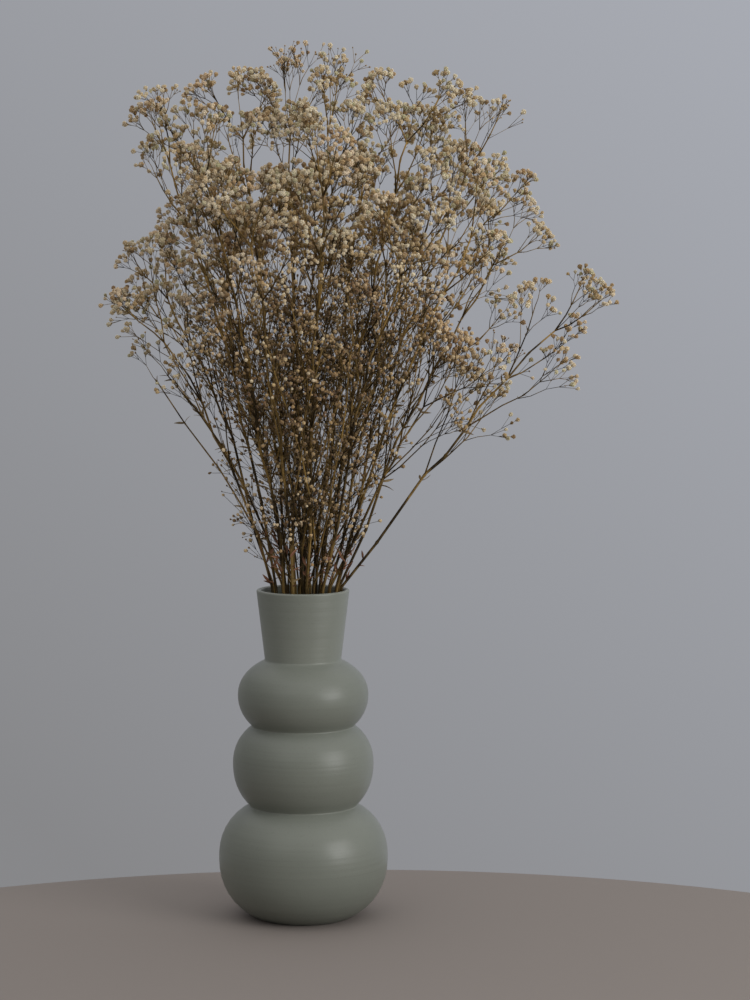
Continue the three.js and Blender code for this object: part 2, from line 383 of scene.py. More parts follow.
stems = [
    {"tip": (-146, -15, 530), "lean": 0.24, "seed": 343},
    {"tip": (-142, 45, 566), "lean": 0.25, "seed": 29},
    {"tip": (-126, -48, 678), "lean": 0.27, "seed": 71},
    {"tip": (-92, 75, 650), "lean": 0.3, "seed": 2},
    {"tip": (-90, -80, 664), "lean": 0.3, "seed": 40},
    {"tip": (-56, 15, 702), "lean": 0.32, "seed": 6},
    {"tip": (-44, -120, 610), "lean": 0.3, "seed": 7},
    {"tip": (-12, 55, 708), "lean": 0.36, "seed": 6},
    {"tip": (24, -30, 704), "lean": 0.36, "seed": 4},
    {"tip": (20, -110, 650), "lean": 0.34, "seed": 3},
    {"tip": (62, 60, 680), "lean": 0.34, "seed": 25},
    {"tip": (98, -5, 698), "lean": 0.34, "seed": 15},
    {"tip": (126, 70, 650), "lean": 0.32, "seed": 3},
    {"tip": (160, 22, 676), "lean": 0.32, "seed": 10},
    {"tip": (164, -58, 616), "lean": 0.32, "seed": 2},
    {"tip": (188, 62, 592), "lean": 0.34, "seed": 1},
    {"tip": (246, -10, 532), "lean": 0.42, "seed": 47},
    {"tip": (130, -30, 476), "lean": 0.36, "seed": 1},
    {"tip": (98, -105, 586), "lean": 0.32, "seed": 2},
    {"tip": (-88, 120, 576), "lean": 0.28, "seed": 4},
    {"tip": (10, 125, 632), "lean": 0.32, "seed": 2},
    {"tip": (84, 125, 586), "lean": 0.32, "seed": 1},
]


# a small generator that draws the same numbers wherever it runs
drawRule = {"first": 48271, "offset": 11, "next": 16807, "span": 2147483647}

# where a stem's line passes the vase's mouth, and where its nodes begin
mouthPoint = 2
firstNode = 3


def seededDraw(seed):
    span = drawRule["span"]
    state = (seed * drawRule["first"] + drawRule["offset"]) % span

    def between(low, high):
        nonlocal state
        state = state * drawRule["next"] % span
        return low + (high - low) * state / span

    return between


def leaning(axis, angle, turn):
    side = axis.cross(up).normalized() if abs(axis.z) < growth["steep"] else Vector((1, 0, 0))
    across = axis.cross(side)
    lean = side * math.cos(turn) + across * math.sin(turn)
    return (axis * math.cos(angle) + lean * math.sin(angle)).normalized()


def growStem(tip, lean, between):
    reach = math.hypot(tip.x, tip.y)
    share = min(1, reach / growth["bundleReach"]) / reach

    def inBundle(place, z):
        radius = growth["bundle"][place] * share
        return Vector((tip.x * radius, tip.y * radius, z))

    mouth = inBundle("mouth", growth["mouthHeight"])
    bend = mouth.lerp(tip, lean)
    bend.z = (mouth.z + tip.z) / 2
    length = (tip - mouth).length
    first = growth["firstInternode"] * between(*growth["firstSpread"])
    last = length - growth["tipReach"]
    nodes = max(1, math.floor((last - first) / growth["internode"] + 0.5))
    line = [
        inBundle("foot", growth["footHeight"]),
        inBundle("throat", growth["throatHeight"]),
        mouth,
    ]
    for i in range(nodes + 1):
        t = (first + (last - first) * i / nodes) / length
        node = mouth * (1 - t) ** 2 + bend * 2 * t * (1 - t) + tip * t ** 2
        node.x += between(-growth["nodeKink"], growth["nodeKink"])
        node.y += between(-growth["nodeKink"], growth["nodeKink"])
        line.append(node)
    return line


def growSprigs(limb, length, between):
    turn = between(0, 2 * math.pi)
    sprigs = []
    for i, place in enumerate(growth["sprigPlaces"]):
        start, end = limb[:2] if place < 0.5 else limb[1:]
        root = start.lerp(end, place % 0.5 * 2)
        turn += math.pi * (0.5 if i % 2 else 1)
        angle = math.radians(between(*growth["sprigAngle"]))
        stray = between(*growth["sprigTurn"])
        direction = leaning((end - start).normalized(), angle, turn + stray)
        reach = length * (1 - place) * between(*growth["sprigSpread"])
        sprigs.append((root, direction, reach))
    return sprigs


def growSpray(stem):
    between = seededDraw(stem["seed"])
    line = growStem(Vector(stem["tip"]), stem["lean"], between)
    nodes = len(line) - firstNode
    limbs, leaves = [], []
    turn = between(0, 2 * math.pi)
    for i in range(nodes):
        node = line[firstNode + i]
        along = (node - line[firstNode + i - 1]).normalized()
        nodeTurn = growth["nodeTurn"]
        turn += math.radians(nodeTurn["middle"] + between(-nodeTurn["spread"], nodeTurn["spread"]))
        root = node - along * growth["leafDrop"]
        for opposite in (0, math.pi):
            direction = leaning(along, math.radians(growth["leafAngle"]), turn + opposite)
            leaves.append((root, direction, i))
        for opposite in (0, math.pi):
            angles = growth["limbAngle"]
            opening = angles["low"] + (angles["high"] - angles["low"]) * i / nodes
            angle = math.radians(opening + between(-angles["spread"], angles["spread"]))
            length = growth["limbLength"] * (1 - growth["limbShrink"] * i / nodes)
            length *= between(*growth["limbSpread"])
            start = leaning(along, angle, turn + opposite)
            end = (start + up * between(*growth["limbRise"])).normalized()
            elbow = node + start * length * 0.5
            limb = [node, elbow, elbow + end * length * 0.5]
            limbs.append((limb, length, growSprigs(limb, length, between)))
    return line, limbs, leaves


# blooms: small double flowers, dried to tight ruffled balls that narrow to a calyx below.
# Those inside the bunch have no separate petals
bloomShape = {
    "ball": 0.78,
    "ruffle": 0.3,
    "plainBall": 0.96,
    "waviness": 0.2,
    "waves": {"seed": 4, "scale": 3.1, "at": (4, 1, 7)},
    # how deep a point lies in its bloom: the hollows get the most painted shade, the tips none
    "petal": {"calyxAndUnderShade": -1.0, "hollow": 0.0, "plain": 0.3, "bud": 0.35, "tip": 1.0},
    "flatten": 0.92,
    "squash": (0.72, 1.08),
    "calyxTip": -1.3,
    "size": (1.8, 2.9),
    "smallest": 0.68,
    "tone": (0.15, 1),
    "leastTone": 0.25,
    # a darker tone for blooms inside the bunch: painted shade
    "insideShadeTone": 0.6,
    "ruffledFrom": 0.8,
    "facing": (0, 0.5),
    "ripe": {"from": 320, "over": 280, "least": 0.4, "middle": 10, "aside": 85, "overAside": 90},
    "shell": {"centre": (35, 0, 480), "radii": (190, 140, 230), "from": 0.66},
}


def bloomMesh(shape, ruffled):
    waves, depth = shape["waves"], shape["petal"]
    noise.seed_set(waves["seed"])
    bm = bmesh.new()
    size = shape["ball"] if ruffled else shape["plainBall"]
    ball = bmesh.ops.create_icosphere(bm, subdivisions=1, radius=size)["verts"]
    lowest = min(ball, key=lambda v: v.co.z)
    tips = set()
    if ruffled:
        tips = set(bmesh.ops.poke(bm, faces=bm.faces, offset=shape["ruffle"])["verts"])
    for v in bm.verts:
        wave = noise.noise_vector(v.co * waves["scale"] + Vector(waves["at"]))
        v.co += wave * shape["waviness"]
        v.co.z *= shape["flatten"]
    lowest.co = (0, 0, shape["calyxTip"])
    rest = depth["hollow" if ruffled else "plain"]
    petal = [depth["calyxAndUnderShade"] if v is lowest else depth["tip"] if v in tips else rest for v in bm.verts]
    mesh = bpy.data.meshes.new("bloomPattern")
    bm.to_mesh(mesh)
    bm.free()
    return mesh, petal


# buds: closed cones that widen to a pointed cap
budShape = {
    "sides": 5,
    "foot": 0.25,
    "cap": 0.85,
    "length": 1.1,
    "point": 0.8,
    "size": (0.7, 1.15),
    "tone": 0.3,
    "lift": 0.5,
}


def budMesh(shape):
    depth = bloomShape["petal"]
    bm = bmesh.new()
    bmesh.ops.create_cone(
        bm,
        segments=shape["sides"],
        radius1=shape["foot"],
        radius2=shape["cap"],
        depth=shape["length"],
        cap_ends=True,
    )
    cap = max(bm.faces, key=lambda f: f.calc_center_median().z)
    bmesh.ops.poke(bm, faces=[cap], offset=shape["point"])
    petal = [depth["bud"] if v.co.z > 0 else depth["calyxAndUnderShade"] for v in bm.verts]
    mesh = bpy.data.meshes.new("budPattern")
    bm.to_mesh(mesh)
    bm.free()
    return mesh, petal


# leaves: narrow blades folded along the middle, dried and curled, drawn to a point
leafShape = {
    "width": 0.2,
    "foot": 0.12,
    "lowWidth": 0.8,
    "fold": 0.35,
    "thickness": 0.03,
    "curl": 0.3,
    "segments": (2, 4),
}


def leafMesh(shape):
    bm = bmesh.new()
    wide, long = shape["segments"]
    bmesh.ops.create_grid(bm, x_segments=wide, y_segments=long, size=0.5)
    for v in bm.verts:
        share = v.co.y + 0.5
        widening = shape["foot"] + math.sin(math.pi * share ** shape["lowWidth"])
        across = v.co.x * shape["width"] * widening
        v.co = (across, abs(across) * shape["fold"] - shape["curl"] * share ** 2, share)
    bmesh.ops.solidify(bm, geom=bm.faces[:], thickness=shape["thickness"])
    bmesh.ops.recalc_face_normals(bm, faces=bm.faces)
    mesh = bpy.data.meshes.new("leafPattern")
    bm.to_mesh(mesh)
    bm.free()
    return mesh


# petals: tones range from a faded pink-brown to a last trace of green, and each bloom is painted darker
# in its hollows as shade
petalLook = {
    "tones": [
        (0.0, (0.20, 0.12, 0.07)),
        (0.15, (0.41, 0.28, 0.14)),
        (0.3, (0.72, 0.56, 0.32)),
        (0.5, (0.98, 0.89, 0.74)),
        (0.84, (1.0, 0.97, 0.88)),
        (0.93, (0.84, 0.84, 0.66)),
        (1.0, (0.60, 0.61, 0.41)),
    ],
    # tip, middle and deep: painted shade from the petal tips into the hollows; deep also darkens the
    # random mottling
    "tip": (1, 1, 1),
    "middle": (0.96, 0.88, 0.70),
    "deep": (0.50, 0.41, 0.24),
    # the calyx's own dark colour, made darker still as painted shade under each bloom
    "calyxAndUnderShade": (0.065, 0.044, 0.016),
    "deepToMiddle": (0, 0.5),
    "middleToTip": (0.4, 0.9),
    "petalToCalyx": (-0.2, -0.8),
    "blush": (1.0, 0.87, 0.84),
    "pink": {"scale": 11, "detail": 2},
    "pinkRange": (0.46, 0.62, 0, 0.6),
    "mottle": {"scale": 1100, "detail": 2},
    "mottleRange": (0.45, 0.7, 0, 0.4),
    "roughness": 0.85,
    "sheen": 0.35,
    "sheenRoughness": 0.6,
    "gloss": 0.25,
    "bump": 0.0008,
}


def makeBloomFinish(look):
    material, tree, shader, coords = startMaterial("driedPetals")
    ramp = addNode(tree, "ShaderNodeValToRGB")
    steps = ramp.color_ramp.elements
    for place, colour in look["tones"][1:-1]:
        steps.new(place).color = (*colour, 1)
    steps[0].color = (*look["tones"][0][1], 1)
    steps[len(steps) - 1].color = (*look["tones"][-1][1], 1)
    tree.links.new(attributeOf(tree, "tone"), ramp.inputs["Fac"])
    depth = attributeOf(tree, "petal")
    # painted shade: the hollows darken towards the deep colour, and the tips keep the bloom's tone
    shade = mixColours(tree, rangeOf(tree, depth, *look["deepToMiddle"]), look["deep"], look["middle"])
    lit = mixColours(tree, rangeOf(tree, depth, *look["middleToTip"]), shade, look["tip"])
    pink = rangeOf(tree, noiseOn(tree, coords, **look["pink"]), *look["pinkRange"])
    blushed = mixColours(tree, pink, ramp.outputs["Color"], look["blush"], "MULTIPLY")
    petals = mixColours(tree, 1.0, blushed, lit, "MULTIPLY")
    mottle = rangeOf(tree, noiseOn(tree, coords, **look["mottle"]), *look["mottleRange"])
    shaded = mixColours(tree, 1.0, petals, look["deep"], "MULTIPLY")
    mottled = mixColours(tree, mottle, petals, shaded)
    # each bloom's underside runs into the calyx colour: the calyx itself, and painted shade under the
    # bloom
    flower = mixColours(tree, rangeOf(tree, depth, *look["petalToCalyx"]), mottled, look["calyxAndUnderShade"])
    tree.links.new(flower, shader.inputs["Base Color"])
    setSurface(shader, look)
    addBump(tree, shader, noiseOn(tree, coords, **look["mottle"]), look["bump"])
    return material


# stems: patches of young, tan wood and old, dark wood, with pale streaks, and painted darker low down
# towards the rim as shade
stemLook = {
    "young": (0.40, 0.25, 0.074),
    # the dark end: old wood, and also the painted shade low on the stems
    "oldWoodAndShade": (0.028, 0.0175, 0.006),
    "pale": (0.38, 0.27, 0.11),
    "lowShadeRange": (0.56, 0.26, 0, 0.4),
    "patches": {"scale": 75, "detail": 2, "stretch": (1, 1, 0.15)},
    "patchRange": (0.36, 0.64, -0.45, 0.45),
    "streaks": {"scale": 420, "detail": 3, "roughness": 0.6, "stretch": (1, 1, 0.12)},
    "streakRange": (0.5, 0.8, 0, 0.3),
    "bark": {"scale": 900, "detail": 3, "roughness": 0.6, "stretch": (1, 1, 0.1)},
    "roughness": 0.6,
    "gloss": 0.15,
    "bump": 0.0003,
}


def makeStemFinish(look):
    material, tree, shader, coords = startMaterial("driedStem")
    separate = addNode(tree, "ShaderNodeSeparateXYZ")
    tree.links.new(coords, separate.inputs[0])
    # painted shade: stems darken from 0.56 m down towards the rim
    low = rangeOf(tree, separate.outputs["Z"], *look["lowShadeRange"])
    patchy = rangeOf(tree, noiseOn(tree, coords, **look["patches"]), *look["patchRange"])
    # age: each twig's age and the random patches, with the painted shade low down added
    age = addUp(tree, addUp(tree, low, attributeOf(tree, "tone")), patchy, clamped=True)
    body = mixColours(tree, age, look["young"], look["oldWoodAndShade"])
    streaks = rangeOf(tree, noiseOn(tree, coords, **look["streaks"]), *look["streakRange"])
    streaked = mixColours(tree, streaks, body, look["pale"])
    tree.links.new(streaked, shader.inputs["Base Color"])
    setSurface(shader, look)
    addBump(tree, shader, noiseOn(tree, coords, **look["bark"]), look["bump"])
    return material


leafLook = {
    "brown": (0.16, 0.105, 0.05),
    "pale": (0.34, 0.25, 0.13),
    "red": (0.30, 0.13, 0.075),
    "reddish": 0.8,
    "patches": {"scale": 160, "detail": 3},
    "patchRange": (0.35, 0.65),
    "grain": {"scale": 700, "detail": 3},
    "roughness": 0.75,
    "gloss": 0.3,
    "bump": 0.0004,
}


def makeLeafFinish(look):
    material, tree, shader, coords = startMaterial("driedLeaf")
    patches = rangeOf(tree, noiseOn(tree, coords, **look["patches"]), *look["patchRange"])
    body = mixColours(tree, patches, look["brown"], look["pale"])
    reddened = mixColours(tree, attributeOf(tree, "tone"), body, look["red"])
    tree.links.new(reddened, shader.inputs["Base Color"])
    setSurface(shader, look)
    addBump(tree, shader, noiseOn(tree, coords, **look["grain"]), look["bump"])
    return material


finishes = [makeStemFinish(stemLook), makeBloomFinish(petalLook), makeLeafFinish(leafLook)]
finishOf = {"stem": 0, "bloom": 1, "leaf": 2}

# twigs: radii in millimetres at root and tip, how their nodes swell, and how old their wood looks
twigShape = {
    "stem": {"radius": (1.3, 0.65), "swell": 1.3, "sides": 2, "age": 0.42},
    "sideStem": {"radius": (1.0, 0.5), "swell": 1.3, "sides": 1, "age": 0.42},
    "limb": {"radius": (0.68, 0.38), "sides": 1, "age": 0.57},
    "sprig": {"radius": (0.34, 0.24), "sides": 0, "age": 0.68},
    "stalk": {"radius": (0.2, 0.16), "sides": 0, "age": 0.75},
}

# what is finer than the solids. Reaches are in millimetres, and angles in degrees,
# but turns and the angles of bracts, airy tops and rim leaves in radians
fineGrowth = {
    "seeds": {"twigs": 500, "turns": 900},
    "anyTurn": (0, 6.28),
    "swellReach": 2.4,
    "merge": 0.0005,
    "bow": {"at": (0.35, 0.65), "share": 0.05, "stem": 3.5, "limb": 1.5, "sprig": 2},
    "fork": {
        "angle": (20, 38),
        "stray": (-0.4, 0.4),
        "rise": (0, 0.2),
        "reach": (0.85, 1.15),
        "middleAngle": (0, 12),
        "middleReach": (0.6, 0.95),
        "firstShare": 0.56,
        "nextShare": 0.45,
    },
    "limbEnd": 0.5,
    "manyForks": (38, 21),
    "crown": {"from": 500, "over": 110},
    "fullness": {1: 0.6, 3: 0.7, 11: 0.6, 14: 0.7, 15: 0.7, 16: 0.6, 17: 0.65, 18: 0.55},
    "sparse": (0.35, 0.65),
    "usualFullness": 1,
    "terminal": (38, 68),
    "airyTops": {8: 3, 9: 1},
    "airyTop": {"reach": (64, 76), "angle": 0.2, "turn": 2.1},
    "reach": (0.82, 1.22),
    "shown": {"height": (465, 560), "from": 10, "aside": 100},
    "leaf": {"length": 13, "shrink": 0.8, "reach": (0.7, 1.15)},
    "bracts": {"angle": (0.5, 0.95), "reach": (0.75, 1.2), "turn": (0, 6), "limb": 4, "sprig": 3},
    "outerReach": 95,
    "sideStem": {
        "count": 2,
        "outward": (0.3, 0.95),
        "aside": (-0.6, 0.6),
        "shift": (-4, 4),
        "mouthRoom": 31,
        "throat": 0.7,
        "foot": 0.75,
        "angle": (1, 19),
        "rise": (100, 250),
        "node": 40,
        "fewest": 2,
        "bend": (-0.14, 0.14),
        "spread": (0.8, 1.2),
        "bracts": 8,
        "limbAngle": (12, 27),
        "limbReach": (30, 62),
        "tipReach": (30, 45),
    },
    "lowShoot": {
        "count": 23,
        "span": (0.04, 2.4),
        "angle": (20, 62),
        "reach": (22, 66),
        "bracts": (3, 8),
    },
    "bundle": {"halfWidth": 34, "widening": 0.4},
    "rimLeaf": {"count": 5, "at": (0.02, 0.35), "angle": (0.4, 1.3), "length": (6, 12)},
    "cell": 8,
    "crowding": 0.66,
    "airyChance": 0.07,
    "budChance": {"full": 0.06, "small": 0.3, "airy": 0.7},
    "crowdedBud": 0.15,
}


def tapered(line, twig):
    root, tip = twig["radius"]
    last = len(line) - 1
    ring = []
    for i, place in enumerate(line):
        size = root + (tip - root) * i / last
        if "swell" in twig and mouthPoint < i < last:
            along = (line[i + 1] - line[i - 1]).normalized() * fineGrowth["swellReach"]
            ring += [(place - along, size), (place, size * twig["swell"]), (place + along, size)]
        else:
            ring.append((place, size))
    return ring


def tubeMesh(lines, sides):
    curve = bpy.data.curves.new("tubes", "CURVE")
    curve.dimensions = "3D"
    curve.bevel_depth = 1
    curve.bevel_resolution = sides
    curve.use_fill_caps = True
    for line in lines:
        spline = curve.splines.new("POLY")
        spline.points.add(len(line) - 1)
        for point, (place, radius) in zip(spline.points, line):
            point.co = (*place, 1)
            point.radius = radius
    holder = bpy.data.objects.new("tubes", curve)
    mesh = bpy.data.meshes.new_from_object(holder)
    bpy.data.objects.remove(holder)
    bpy.data.curves.remove(curve)
    bm = bmesh.new()
    bm.from_mesh(mesh)
    bmesh.ops.remove_doubles(bm, verts=bm.verts, dist=fineGrowth["merge"])
    bm.to_mesh(mesh)
    bm.free()
    return mesh


# blooms already placed, by cells: where one more would crowd them, it is left out
placed = {}


def hasRoom(place, size):
    cell = [math.floor(c / fineGrowth["cell"]) for c in place]
    for x, y, z in product((-1, 0, 1), repeat=3):
        for other, radius in placed.get((cell[0] + x, cell[1] + y, cell[2] + z), []):
            if (place - other).length < fineGrowth["crowding"] * (size + radius):
                return False
    placed.setdefault(tuple(cell), []).append((place, size))
    return True


def isOutside(place):
    shell = bloomShape["shell"]
    parts = [(p - c) / r for p, c, r in zip(place, shell["centre"], shell["radii"])]
    return math.hypot(*parts) > shell["from"]


# low shoots stay within the bundle, which widens upwards
def isInside(place):
    bundle = fineGrowth["bundle"]
    room = bundle["halfWidth"] + bundle["widening"] * (place.z - growth["mouthHeight"])
    return abs(place.x) < room and abs(place.y) < room


def addTwig(fine, kind, points):
    fine.twigs[kind].append(tapered(points, twigShape[kind]))


def bowed(fine, start, end, kind):
    bow = fineGrowth["bow"]
    length = (end - start).length
    turn = fine.between(*fineGrowth["anyTurn"])
    side = leaning((end - start).normalized(), math.pi / 2, turn)
    return start.lerp(end, fine.between(*bow["at"])) + side * min(bow[kind], bow["share"] * length)


# blooms lower down are less ripe, so smaller and browner, but less so at the sides
def ripenessAt(place):
    ripe = bloomShape["ripe"]
    aside = abs(place.x - ripe["middle"]) - ripe["aside"]
    ripeness = (place.z - ripe["from"]) / ripe["over"] + max(0, aside) / ripe["overAside"]
    return max(ripe["least"], min(1, ripeness))


# where a bloom has no room, a few stay as buds, and the others are left out
def addBloom(fine, root, end, direction, habit):
    between = fine.between
    ripeness = ripenessAt(end)
    leastTone = bloomShape["leastTone"]
    size = between(*bloomShape["size"]) * max(bloomShape["smallest"], ripeness)
    hue = between(*bloomShape["tone"]) * (leastTone + (1 - leastTone) * ripeness)
    isOuter = isOutside(end)
    # blooms inside the bunch are painted a darker, browner tone as shade
    if not isOuter:
        hue *= bloomShape["insideShadeTone"]
    isBud = between(0, 1) < fineGrowth["budChance"][habit]
    if not isBud and not hasRoom(end + direction * size, size):
        if between(0, 1) > fineGrowth["crowdedBud"]:
            return
        isBud = True
    if isBud:
        kind, size, hue = "bud", between(*budShape["size"]), hue * budShape["tone"]
    else:
        kind = "ruffled" if ripeness > bloomShape["ruffledFrom"] and isOuter else "plain"
    addTwig(fine, "stalk", [root, end])
    lift = size * (budShape["lift"] if isBud else 1)
    fine.blooms.append((kind, end + direction * lift, direction, size, hue))


# a twig that forks in three, again and again, with a bloom at each end
def addFork(fine, root, direction, reach, order, habit, isFirst=True):
    between = fine.between
    fork = fineGrowth["fork"]
    share = fork["firstShare" if isFirst else "nextShare"] if order else 1
    end = root + direction * reach * share
    if not order:
        addBloom(fine, root, end, direction, habit)
        return
    if order > 1:
        addTwig(fine, "sprig", [root, bowed(fine, root, end, "sprig"), end])
    else:
        addTwig(fine, "stalk", [root, end])
    turn = between(0, 2 * math.pi)
    rest = reach * (1 - share)
    for opposite in (0, math.pi):
        angle = math.radians(between(*fork["angle"]))
        side = leaning(direction, angle, turn + opposite + between(*fork["stray"]))
        side = (side + up * between(*fork["rise"])).normalized()
        addFork(fine, end, side, rest * between(*fork["reach"]), order - 1, habit, False)
    middle = leaning(direction, math.radians(between(*fork["middleAngle"])), turn)
    middleReach = rest * between(*fork["middleReach"])
    addFork(fine, end, middle, middleReach, max(0, order - 2), habit, False)


def addBracts(fine, root, along, length, turn):
    bracts = fineGrowth["bracts"]
    for opposite in (0, math.pi):
        direction = leaning(along, fine.between(*bracts["angle"]), turn + opposite)
        fine.foliage.append((root, direction, length * fine.between(*bracts["reach"])))


# the stem, its leaves and its limbs follow the solid ones
def addStem(fine, line, leaves):
    points = line[:firstNode]
    for start, end in zip(line[mouthPoint:], line[firstNode:]):
        points += [bowed(fine, start, end, "stem"), end]
    addTwig(fine, "stem", points)
    leaf = fineGrowth["leaf"]
    for root, direction, level in leaves:
        reach = leaf["length"] * leaf["shrink"] ** level * fine.between(*leaf["reach"])
        fine.foliage.append((root, direction, reach))


def addLimb(fine, limb, length, sprigs, fullness):
    between = fine.between
    shown, bracts, limbEnd = fineGrowth["shown"], fineGrowth["bracts"], fineGrowth["limbEnd"]
    base, elbow, tip = limb
    isAside = abs(tip.x - shown["from"]) > shown["aside"]
    isShown = isAside or tip.z > between(*shown["height"])
    isAiry = between(0, 1) < fineGrowth["airyChance"]
    habit = "airy" if isAiry else "full" if isShown else "small"
    end = elbow.lerp(tip, limbEnd)
    along = (tip - elbow).normalized()
    addTwig(fine, "limb", [base, bowed(fine, base, elbow, "limb"), elbow, end])
    addFork(fine, end, along, length * 0.5 * (1 - limbEnd), 2, habit)
    crown = fineGrowth["crown"]
    height = max(0, min(1, (tip.z - crown["from"]) / crown["over"]))
    lowReach, highReach = fineGrowth["manyForks"]
    manyForks = lowReach + (highReach - lowReach) * height
    least = fineGrowth["sparse"][isAside]
    chance = fullness * (least + (1 - least) * height)
    for i, (root, direction, reach) in enumerate(sprigs):
        if habit == "full":
            isLong = reach > manyForks
            order = 3 if isLong and between(0, 1) < chance else 2
            if i % 2 == 0 and between(0, 1) > chance:
                continue
        else:
            order = 2 if i in (0, 3) else 1
        addFork(fine, root, direction, reach * between(*fineGrowth["reach"]), order, habit)
    addBracts(fine, elbow, along, bracts["limb"], between(*bracts["turn"]))
    addBracts(fine, sprigs[1][0], along, bracts["sprig"], between(*bracts["turn"]))


def addTop(fine, line, airyTops):
    tip, airy = line[-1], fineGrowth["airyTop"]
    top = (tip - line[-2]).normalized()
    addFork(fine, tip, top, fine.between(*fineGrowth["terminal"]), 3, "full")
    for i in range(airyTops):
        direction = leaning(top, airy["angle"], i * airy["turn"])
        addFork(fine, tip, direction, fine.between(*airy["reach"]), 3, "airy")


# a thinner stem beside the first, branching low
def addSideStem(fine, line, along):
    between = fine.between
    side = fineGrowth["sideStem"]
    share = between(*side["outward"])
    spin = Matrix.Rotation(between(*side["aside"]), 3, "Z")
    mouth = spin @ Vector((line[mouthPoint].x * share, line[mouthPoint].y * share, 0))
    mouth += Vector((between(*side["shift"]), between(*side["shift"]), 0))
    mouth *= min(1, side["mouthRoom"] / mouth.length)
    angle = math.radians(between(*side["angle"]))
    lean = leaning(along, angle, between(*fineGrowth["anyTurn"]))
    rise = between(*side["rise"])
    count = max(side["fewest"], round(rise / side["node"]))
    points = [
        mouth * side["foot"] + up * growth["footHeight"],
        mouth * side["throat"] + up * growth["throatHeight"],
        mouth + up * growth["mouthHeight"],
    ]
    for _ in range(count):
        bend = Vector((between(*side["bend"]), between(*side["bend"]), 0))
        lean = (lean + bend).normalized()
        points.append(points[-1] + lean * rise / count * between(*side["spread"]))
    addTwig(fine, "sideStem", points)
    turn = between(*fineGrowth["anyTurn"])
    for point in points[firstNode:]:
        turn += math.pi / 2
        addBracts(fine, point, lean, side["bracts"], turn)
        for opposite in (0, math.pi):
            limb = leaning(lean, math.radians(between(*side["limbAngle"])), turn + opposite)
            reach = between(*side["limbReach"])
            if isInside(point + limb * reach):
                addFork(fine, point, limb, reach, 2 if opposite else 1, "small")
    addFork(fine, points[-1], lean, between(*side["tipReach"]), 2, "small")


# a short shoot low on the stem
def addLowShoot(fine, line, along, order):
    between = fine.between
    low, bracts = fineGrowth["lowShoot"], fineGrowth["bracts"]
    span = between(*low["span"])
    start = min(mouthPoint + int(span), len(line) - 2)
    root = line[start].lerp(line[start + 1], span % 1)
    angle = math.radians(between(*low["angle"]))
    shoot = leaning(along, angle, between(*fineGrowth["anyTurn"]))
    reach = between(*low["reach"])
    if isInside(root + shoot * reach):
        addFork(fine, root, shoot, reach, order, "small")
        addBracts(fine, root, along, between(*low["bracts"]), between(*bracts["turn"]))


def addRimLeaf(fine, line, along):
    between = fine.between
    leaf = fineGrowth["rimLeaf"]
    root = line[mouthPoint].lerp(line[firstNode], between(*leaf["at"]))
    direction = leaning(along, between(*leaf["angle"]), between(*fineGrowth["anyTurn"]))
    fine.reddish.append((root, direction, between(*leaf["length"])))


def growFine(number, stem):
    line, limbs, leaves = growSpray(stem)
    fine = SimpleNamespace(
        between=seededDraw(stem["seed"] + number + fineGrowth["seeds"]["twigs"]),
        twigs={kind: [] for kind in twigShape},
        blooms=[],
        foliage=[],
        reddish=[],
    )
    fullness = fineGrowth["fullness"].get(number, fineGrowth["usualFullness"])
    addStem(fine, line, leaves)
    for limb, length, sprigs in limbs:
        addLimb(fine, limb, length, sprigs, fullness)
    addTop(fine, line, fineGrowth["airyTops"].get(number, 0))
    along = (line[firstNode] - line[mouthPoint]).normalized()
    if abs(line[-1].x - fineGrowth["shown"]["from"]) <= fineGrowth["outerReach"]:
        for _ in range(fineGrowth["sideStem"]["count"]):
            addSideStem(fine, line, along)
        for i in range(fineGrowth["lowShoot"]["count"]):
            addLowShoot(fine, line, along, 2 if i % 3 else 1)
    for _ in range(fineGrowth["rimLeaf"]["count"]):
        addRimLeaf(fine, line, along)
    return fine


patterns = {
    "ruffled": bloomMesh(bloomShape, True),
    "plain": bloomMesh(bloomShape, False),
    "bud": budMesh(budShape),
}
leafPattern = leafMesh(leafShape)


def addCopies(bm, pattern, matrices, finish):
    for polygon in pattern.polygons:
        polygon.material_index = finishOf[finish]
    for matrix in matrices:
        copy = pattern.copy()
        copy.transform(matrix)
        bm.from_mesh(copy)
        bpy.data.meshes.remove(copy)


def pointing(place, direction, size, turn, squash=1.0):
    toward = direction.to_track_quat("Z", "Y").to_matrix().to_4x4()
    spin = Matrix.Rotation(turn, 4, "Z")
    narrower = Matrix.Scale(squash, 4, (1, 0, 0))
    return Matrix.Translation(place) @ toward @ spin @ narrower @ Matrix.Scale(size, 4)


